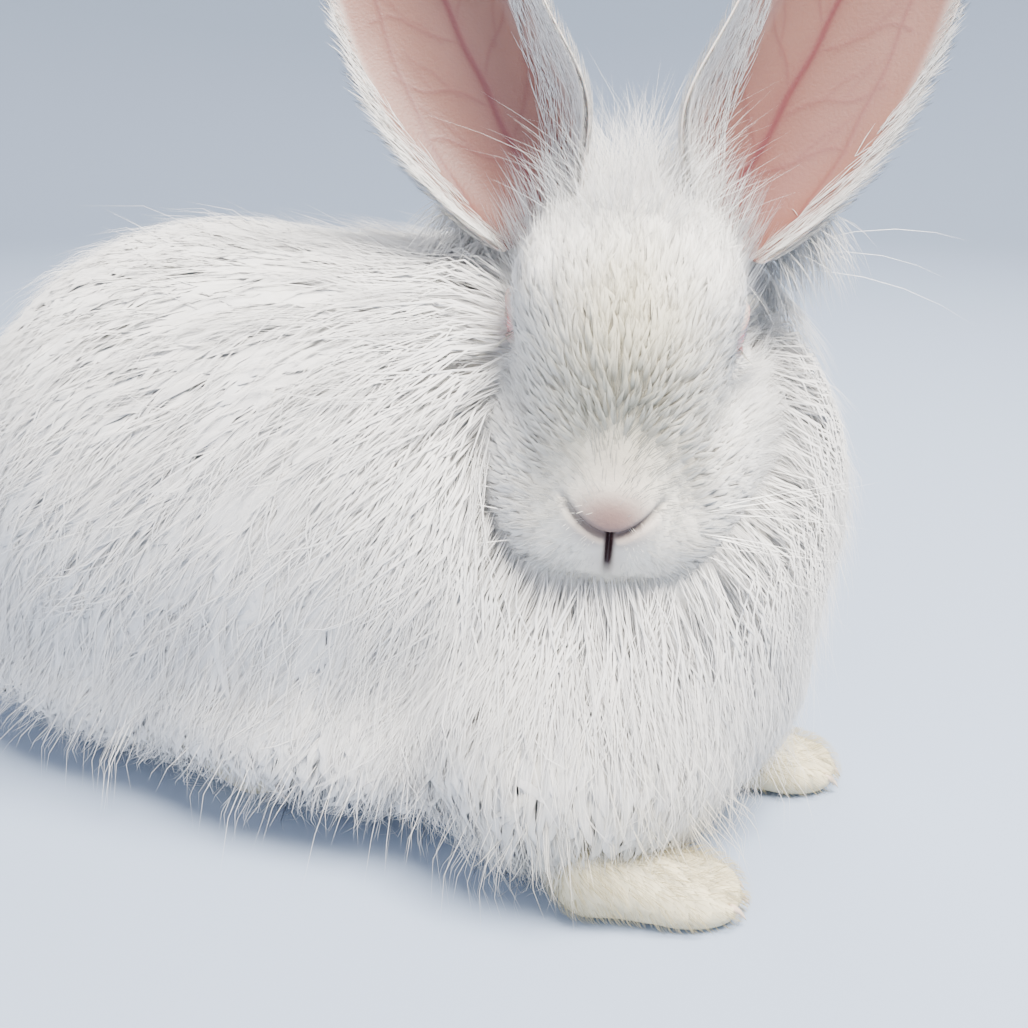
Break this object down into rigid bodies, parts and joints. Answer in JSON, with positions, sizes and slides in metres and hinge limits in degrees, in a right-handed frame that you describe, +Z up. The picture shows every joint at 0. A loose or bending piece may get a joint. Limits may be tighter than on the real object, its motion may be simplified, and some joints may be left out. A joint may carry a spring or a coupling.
{
  "type": "angora rabbit",
  "caption": "Life-size still model of a white angora rabbit, sitting with its head turned to one side and its ears up.",
  "frame": {"origin": "on the floor, under the middle of the model's box", "axes": "+Z up, the body faces -Y, its right side is towards -X"},
  "size_m": [0.1725, 0.3369, 0.2727],
  "materials": {
    "wool": "soft",
    "short_fur": "satin",
    "ear_skin": "matte",
    "ruby_eye": "gloss"
  },
  "bodies": {
    "root": {"head": "short_fur", "neck": "wool", "torso": "wool", "tail": "wool", "foreleg_right": "short_fur", "foreleg_left": "short_fur", "hindleg_right": "short_fur", "hindleg_left": "short_fur", "ear_right": "ear_skin", "ear_left": "ear_skin", "eye_right": "ruby_eye", "eye_left": "ruby_eye"}
  },
  "joints": []
}
